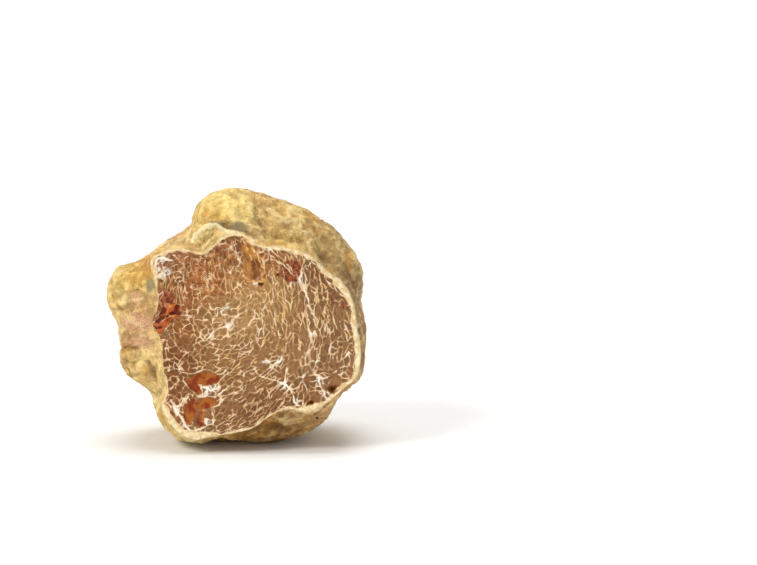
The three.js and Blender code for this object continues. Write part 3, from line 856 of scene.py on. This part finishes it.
def cut_truffle(materials):
    """The truffle as one mesh object, with flesh on the cut face and rind on the rest."""
    points, marks = marked_points()
    kinds = faces_by_kind()
    faces = [face for kind in kinds for face in kind.tolist()]
    mesh = bpy.data.meshes.new("cut_truffle")
    mesh.from_pydata(points.tolist(), [], faces)
    for material in materials:
        mesh.materials.append(material)
    on_rind = np.arange(len(faces)) >= len(kinds[0])
    mesh.polygons.foreach_set("material_index", on_rind.astype(np.int32))
    mesh.polygons.foreach_set("use_smooth", np.ones(len(faces), bool))
    for name, values in marks.items():
        if values.ndim == 1:
            mesh.attributes.new(name, "FLOAT", "POINT").data.foreach_set("value", values.astype(np.float32))
        else:
            rgba = np.insert(values, 3, 1.0, axis=1).astype(np.float32)
            mesh.attributes.new(name, "FLOAT_COLOR", "POINT").data.foreach_set("color", rgba.ravel())
    layer = mesh.uv_layers.new(name="OFBake")
    layer.uv.foreach_set("vector", bake_map(kinds[0]).astype(np.float32).ravel())
    mesh.update()
    return added("cut_truffle", mesh)


# ---------------------------------------------------------------- finishes


class Number:
    """A socket that gives a number. Python's operators on it add the Math nodes."""

    def __init__(self, tree, socket):
        self.tree, self.socket = tree, socket

    def __add__(self, other):
        return self.tree.sum("ADD", self, other)

    __radd__ = __add__

    def __sub__(self, other):
        return self.tree.sum("SUBTRACT", self, other)

    def __rsub__(self, other):
        return self.tree.sum("SUBTRACT", other, self)

    def __mul__(self, other):
        return self.tree.sum("MULTIPLY", self, other)

    __rmul__ = __mul__


class Tree:
    """The nodes of a material or of the surround."""

    def __init__(self, owner):
        self.owner = owner
        owner.use_nodes = True
        self.nodes, self.links = owner.node_tree.nodes, owner.node_tree.links
        self.nodes.clear()

    def node(self, kind, settings=(), inputs=(), output=0):
        """Adds a node, sets its settings first and then its sockets, and returns one output."""
        made = self.nodes.new(kind)
        for name, value in dict(settings).items():
            setattr(made, name, value)
        for name, value in dict(inputs).items():
            if isinstance(value, Number):
                self.links.new(value.socket, made.inputs[name])
            else:
                made.inputs[name].default_value = value
        return Number(self, made.outputs[output]) if made.outputs else made

    def sum(self, operation, first, second):
        return self.node("ShaderNodeMath", {"operation": operation}, {0: first, 1: second})

    def greatest(self, *numbers):
        """The largest of several numbers."""
        return functools.reduce(lambda most, number: self.sum("MAXIMUM", most, number), numbers)

    def step(self, value, low, high, bottom=0.0, top=1.0):
        """A smooth step from bottom at low to top at high. Low may be above high."""
        return self.node("ShaderNodeMapRange", {"interpolation_type": "SMOOTHSTEP"}, {
            "Value": value, "From Min": low, "From Max": high, "To Min": bottom, "To Max": top,
        })


class Finish(Tree):
    """A material that is being painted, layer by layer. Sizes are in millimetres, and a colour is
    given as 8-bit screen numbers or as the output of a node."""

    def __init__(self, name):
        super().__init__(bpy.data.materials.new(name))
        self.coordinates = self.node("ShaderNodeTexCoord", output="Object")
        self.colour = self.normal = None

    def mark(self, name, output="Fac"):
        """One of the marks that the surface carries."""
        return self.node("ShaderNodeAttribute", {"attribute_name": name}, output=output)

    def noise(self, size, detail=2.0, rough=0.5):
        """Noise from 0 to 1 with waves of this size."""
        return self.node("ShaderNodeTexNoise", {}, {
            "Vector": self.coordinates, "Scale": 1000 / size, "Detail": detail, "Roughness": rough,
        })

    def dots(self, size):
        """The distance to the nearest of many random points, in cells of this size, and a random
        number for each cell."""
        inputs = {"Vector": self.coordinates, "Scale": 1000 / size}
        near = self.node("ShaderNodeTexVoronoi", {"feature": "F1"}, inputs, output="Distance")
        colour = Number(self, near.socket.node.outputs["Color"])
        return near, self.node("ShaderNodeSeparateColor", {}, {"Color": colour})

    def mix(self, share, first, second, how="MIX"):
        """Mixes two colours."""
        first, second = (
            value if isinstance(value, Number) else (*linear(value), 1.0) for value in (first, second)
        )
        return self.node("ShaderNodeMix", {"data_type": "RGBA", "blend_type": how},
                         {0: share, 6: first, 7: second}, output=2)

    def two_tone(self, value, low, high, first, second):
        """The first colour where a number is at low, and the second where it is at high."""
        return self.mix(self.step(value, low, high), first, second)

    def scaled(self, colour, factor):
        """A colour times a number."""
        grey = self.node("ShaderNodeCombineColor", {}, {"Red": factor, "Green": factor, "Blue": factor})
        return self.mix(1.0, colour, grey, "MULTIPLY")

    def paint(self, share, colour):
        """Paints a colour over what is there."""
        self.colour = self.mix(share, self.colour, colour)

    def bump(self, height, depth):
        """Adds bumps of this many millimetres for a height of 1."""
        inputs = {"Height": height, "Distance": depth / 1000, "Strength": 1.0}
        if self.normal:
            inputs["Normal"] = self.normal
        self.normal = self.node("ShaderNodeBump", {}, inputs)

    def done(self, roughness, sheen, inputs=()):
        """Ends the material in one Principled shader."""
        inputs = {
            "Base Color": self.colour, "Roughness": roughness, "Specular IOR Level": sheen, **dict(inputs),
        }
        if self.normal:
            inputs["Normal"] = self.normal
        shader = self.node("ShaderNodeBsdfPrincipled", {}, inputs)
        self.node("ShaderNodeOutputMaterial", {}, {"Surface": shader})
        return self.owner


def marbled_flesh():
    """Brown cells between cream veins, with glassy, rusty and crimson patches and a cream rim."""
    f = Finish("marbled_flesh")
    fine, grain = f.noise(0.35), f.noise(0.9)
    ragged = (fine - 0.5) * 0.09 + (grain - 0.5) * 0.06
    vein, main, twig = (f.mark(name) + ragged for name in ("vein", "main_vein", "twig"))
    clear = 1.0 - f.mark("faint")
    thin = f.step(vein, 0.18, 0.05) * clear
    thick = f.step(main, 0.23, 0.08) * (0.4 + clear * 0.6)
    hair = f.step(twig, 0.14, 0.04) * clear
    bright = f.mark("knot") * 0.9 + f.step(main, 0.1, -0.12) * 0.5

    # Flesh between the veins: darker in the middle of a cell, with its own tone in each.
    middle = f.step(f.mark("cell_middle"), 0.1, 0.55)
    shade = 0.97 + f.mark("cell_tone") * 0.08 - middle * 0.26 + (fine - 0.5) * 0.4 + (grain - 0.5) * 0.3
    tint = f.mark("flesh_tint", "Color")
    f.colour = f.scaled(tint, shade)
    f.paint(f.step(f.noise(2.2), 0.56, 0.7) * middle * 0.45, (146, 88, 54))

    # Crumbly flesh has orange, dark and pale crumbs.
    crumb, frayed = f.noise(1.3, 3, 0.62), f.mark("frayed")
    f.paint(frayed * f.step(f.noise(2.3), 0.47, 0.6) * 0.7, (182, 112, 54))
    f.paint(frayed * f.step(crumb, 0.45, 0.33) * 0.75, (92, 52, 26))
    f.paint(frayed * f.step(crumb, 0.54, 0.66) * 0.75, (220, 178, 130))

    # Smooth patches: crimson, glassy amber, the torn flap, and rust with its shreds.
    crimson = f.step(f.mark("crimson") + ragged * 3.0, -0.15, 0.4)
    f.paint(crimson * 0.95, f.two_tone(grain, 0.4, 0.6, (106, 44, 20), (158, 84, 48)))
    amber = f.step(f.mark("amber") + ragged, -0.05, 0.12)
    f.paint(amber, f.two_tone(f.noise(2.4, 1), 0.4, 0.62, (136, 52, 12), (172, 98, 30)))
    flap = f.step(f.mark("smooth_flap") + ragged, -0.15, 0.3)
    f.paint(flap, f.two_tone(f.noise(3.4, 3), 0.36, 0.62, (122, 66, 26), (192, 134, 68)))
    rust = f.step(f.mark("rust") + ragged * 4.0, -0.1, 0.3)
    f.paint(rust, f.two_tone(f.mark("shred"), -0.25, 0.25, (100, 34, 8), (192, 90, 32)))

    # Veins, from the thinnest to the thickest, and pale where two of them meet.
    smooth = f.greatest(amber, flap * 0.9, rust * 0.8, crimson * 0.55)
    open_flesh = 1.0 - smooth
    cream = f.two_tone(f.noise(1.6, 1), 0.38, 0.62, (226, 183, 126), (247, 219, 170))
    cream = f.mix(0.22, cream, f.scaled(tint, 1.75))
    f.paint(hair * 0.6 * open_flesh, cream)
    f.paint(thin * 0.95 * open_flesh, f.mix(f.mark("knot"), cream, (255, 245, 226)))
    lit = f.mix(f.node("ShaderNodeClamp", {}, {0: bright}), cream, (255, 248, 234))
    f.paint(thick * (1.0 - f.greatest(amber, flap) * 0.75), lit)
    joint = f.step(main, 0.42, 0.12) * f.step(vein, 0.28, 0.08) * (1.0 - f.greatest(amber, flap, rust))
    f.paint(joint * 0.4, (254, 242, 220))

    # Bleached patches, torn edges, the rim as a cream line of uneven width, and pits, darker towards the
    # middle as painted shade.
    pale = f.step(f.mark("bleached") + ragged * 4.0, -0.1, 0.45) * f.step(f.noise(0.8), 0.4, 0.58)
    f.paint(pale * 0.8, (246, 234, 216))
    torn = f.step(f.mark("torn") + ragged, 0.12, 0.3)
    f.paint(torn * 0.85, f.two_tone(grain, 0.4, 0.62, (196, 128, 56), (240, 200, 130)))
    rim = f.mark("rim") + (f.noise(2.4, 3) - 0.5) * 3.0 + ragged * 2.0
    rim_cream = f.two_tone(f.noise(1.2), 0.38, 0.62, (224, 192, 136), (248, 228, 186))
    f.paint(f.step(rim, 0.85, 0.45), rim_cream)
    # Painted shade inside the pits: brown, then nearly black in the middle.
    pit = f.mark("pit") + ragged * 2.0
    f.paint(f.step(pit, -0.1, 0.3), (150, 90, 38))
    f.paint(f.step(pit, 0.35, 0.75), (78, 42, 16))

    proud = f.greatest(thin * 0.6, thick, hair * 0.35) * open_flesh
    f.bump(proud + (fine - 0.5) * 0.5 * open_flesh, 0.06)
    f.bump(f.noise(0.18), 0.02)
    return f.done(0.62 - smooth * 0.3, 0.2, {
        "Subsurface Weight": 0.08, "Subsurface Radius": (0.0016, 0.0009, 0.0005), "Subsurface Scale": 0.6,
    })


def rind_skin():
    """The rind: ochre, cream and pinkish tan in soft zones, paler on what stands out as painted highlight,
    darker and greyer in its creases, the darkening there painted shade, with fine mottling, brown specks and
    pores."""
    f = Finish("rind_skin")
    dust, fine, grain = f.noise(0.25), f.noise(0.55, 3, 0.6), f.noise(1.2, 3, 0.6)
    mottle, cloud = f.noise(2.6, 3, 0.6), f.noise(6.0)
    raised, ridge, crease, streak = (f.mark(name) for name in ("raised", "ridge", "crease", "streak"))
    shade = 0.82 + (fine - 0.5) * 0.6 + (grain - 0.5) * 0.75 + (mottle - 0.5) * 0.8 + streak * 0.16
    # The tint holds painted light: painted highlight on the knob and the left, painted shade on the right
    # cheek and the underside.
    tint = f.mark("rind_tint_and_light", "Color")
    f.colour = f.scaled(tint, shade)
    pale = f.mix(0.45, f.scaled(tint, 1.3), (248, 222, 160))
    f.paint(f.step(mottle + streak * 0.12, 0.49, 0.66) * 0.55, pale)
    f.paint(f.step(cloud + (grain - 0.5) * 0.3, 0.54, 0.68) * 0.55, (196, 138, 58))
    f.paint(f.step(cloud + (mottle - 0.5) * 0.4, 0.42, 0.3) * 0.4, (172, 130, 80))

    # Greyed, pinkish and darkened patches; the dark brown ones lie in creases.
    grey = f.step(f.mark("greyed") + (grain - 0.5) * 1.6 + (mottle - 0.5), -0.3, 0.6)
    f.paint(grey * 0.85, (134, 124, 92))
    pink = f.step(f.mark("pinkish") + (grain - 0.5) * 1.4 + (mottle - 0.5) * 1.2, -0.8, 0.9)
    f.paint(pink * 0.85, f.two_tone(fine, 0.4, 0.6, (186, 134, 98), (216, 168, 128)))
    darkening = f.step(f.mark("darkened") + (grain - 0.5) * 4.0, -0.5, 1.2)
    f.paint(darkening * 0.7, (116, 82, 38))

    # Painted highlight: pale on what stands out and along the ridges. Painted shade: brown in the hollows
    # and creases.
    high = raised + (grain - 0.5) * 0.7 + (fine - 0.5) * 0.5
    f.paint(f.step(high, 0.1, 0.7) * 0.5, (248, 222, 156))
    f.paint(f.step(ridge + (grain - 0.5) * 0.8, 0.2, 0.8) * 0.8, (248, 228, 176))
    f.paint(f.step(high, -0.15, -0.8) * 0.65, (124, 88, 38))
    crease_shade = f.step(crease + (grain - 0.5) * 0.9, 0.2, 0.75)
    f.paint(crease_shade * 0.65, (104, 76, 34))

    # The cut edge of the rind is cream.
    edge = f.step(f.mark("from_cut") + (mottle - 0.5) * 3.0 + (fine - 0.5), 0.9, 0.0)
    f.paint(edge * 0.85, f.two_tone(fine, 0.4, 0.6, (222, 190, 136), (248, 230, 188)))

    # Pores, dark grains in the furrows and patches, and dark specks.
    near, chance = f.dots(1.1)
    pores = f.step(near + (dust - 0.5) * 0.4, 0.22, 0.1) * f.step(chance + (cloud - 0.5) * 1.2, 0.72, 0.85)
    f.paint(pores * 0.6, (98, 66, 30))
    f.paint(f.step(dust, 0.56, 0.66) * f.greatest(crease_shade, darkening, grey * 0.6) * 0.85, (52, 40, 20))
    speck = f.step(f.mark("speck") + (dust - 0.5) * 0.2, -0.06, 0.08)
    f.paint(speck * 0.9, (46, 30, 14))

    for height, depth in ((mottle, 0.8), (grain, 0.5), (fine, 0.16), (pores + speck, -0.12)):
        f.bump(height, depth)
    return f.done(0.6 + (grain - 0.5) * 0.3, 0.25, {
        "Subsurface Weight": 0.05, "Subsurface Radius": (0.0016, 0.001, 0.0005), "Subsurface Scale": 0.4,
    })


def white_floor():
    """A plain white tabletop."""
    f = Tree(bpy.data.materials.new("white_floor"))
    shader = f.node("ShaderNodeBsdfPrincipled", {}, {
        "Base Color": (0.92, 0.918, 0.912, 1.0), "Roughness": 0.9, "Specular IOR Level": 0.1,
    })
    f.node("ShaderNodeOutputMaterial", {}, {"Surface": shader})
    return f.owner


# ---------------------------------------------------------------- the stage

FLOOR_HALF = 0.34  # half of the tabletop's side
PICTURE_HEIGHT = 0.746367  # as a share of its width
SPAN = 0.3397  # the truffle's share of the picture's width
CENTRE = (0.3131, 0.5522)  # the middle of its box in the picture, from the top left
ELEVATION = math.radians(8)
LENS = 120
box_low, box_high = (Vector(corner) for corner in cad_box)
box_middle = (box_low + box_high) / 2


def looking(name, data, place, way):
    """A camera or a light at a place, turned to look along a direction."""
    made = added(name, data)
    made.location = place
    made.rotation_mode = "QUATERNION"
    made.rotation_quaternion = way.to_track_quat("-Z", "Y")
    return made


def floor():
    """A square tabletop under the truffle."""
    corners = [(-1, -1), (1, -1), (1, 1), (-1, 1)]
    mesh = bpy.data.meshes.new("tabletop")
    mesh.from_pydata([(x * FLOOR_HALF, y * FLOOR_HALF, box_low.z) for x, y in corners], [], [range(4)])
    mesh.materials.append(white_floor())
    added("tabletop", mesh)


def camera():
    """A long lens square to the cut face, aimed so that the truffle lies left of the middle."""
    width = (box_high.x - box_low.x) / SPAN
    lens = bpy.data.cameras.new("camera")
    lens.lens, lens.clip_start = LENS, 0.01
    back = Vector((0, -math.cos(ELEVATION), math.sin(ELEVATION)))
    rise = Vector((0, math.sin(ELEVATION), math.cos(ELEVATION)))
    target = box_middle + Vector((1, 0, 0)) * width * (0.5 - CENTRE[0])
    target += rise * width * PICTURE_HEIGHT * (CENTRE[1] - 0.5)
    place = target + back * width * LENS / lens.sensor_width
    bpy.context.scene.camera = looking("camera", lens, place, -back)


def softbox(name, place, size, power, colour):
    """A square area light that looks at the truffle."""
    lamp = bpy.data.lights.new(name, "AREA")
    lamp.size, lamp.energy, lamp.color = size, power, colour
    looking(name, lamp, place, box_middle - Vector(place))


def light():
    """A soft key from the upper left, a wide soft one from above, and a white surround that is
    dimmer higher up."""
    softbox("key", (-1.02, -0.85, 1.19), 0.6, 14.5, (1.0, 0.97, 0.92))
    softbox("top", (0.1, 0.3, 1.7), 1.1, 20.0, (1.0, 0.99, 0.97))
    f = Tree(bpy.data.worlds.new("surround"))
    direction = f.node("ShaderNodeTexCoord", output="Generated")
    upward = f.node("ShaderNodeSeparateXYZ", {}, {"Vector": direction}, output="Z")
    glow = {"Color": (0.94, 0.97, 1.0, 1.0), "Strength": f.step(upward, 0.08, 0.45, 1.08, 0.4)}
    f.node("ShaderNodeOutputWorld", {}, {"Surface": f.node("ShaderNodeBackground", {}, glow)})
    bpy.context.scene.world = f.owner


bpy.context.scene.view_settings.view_transform = "Standard"
camera()
floor()
light()

truffle = cut_truffle([marbled_flesh(), rind_skin()])
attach(truffle, "root")
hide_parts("truffle")
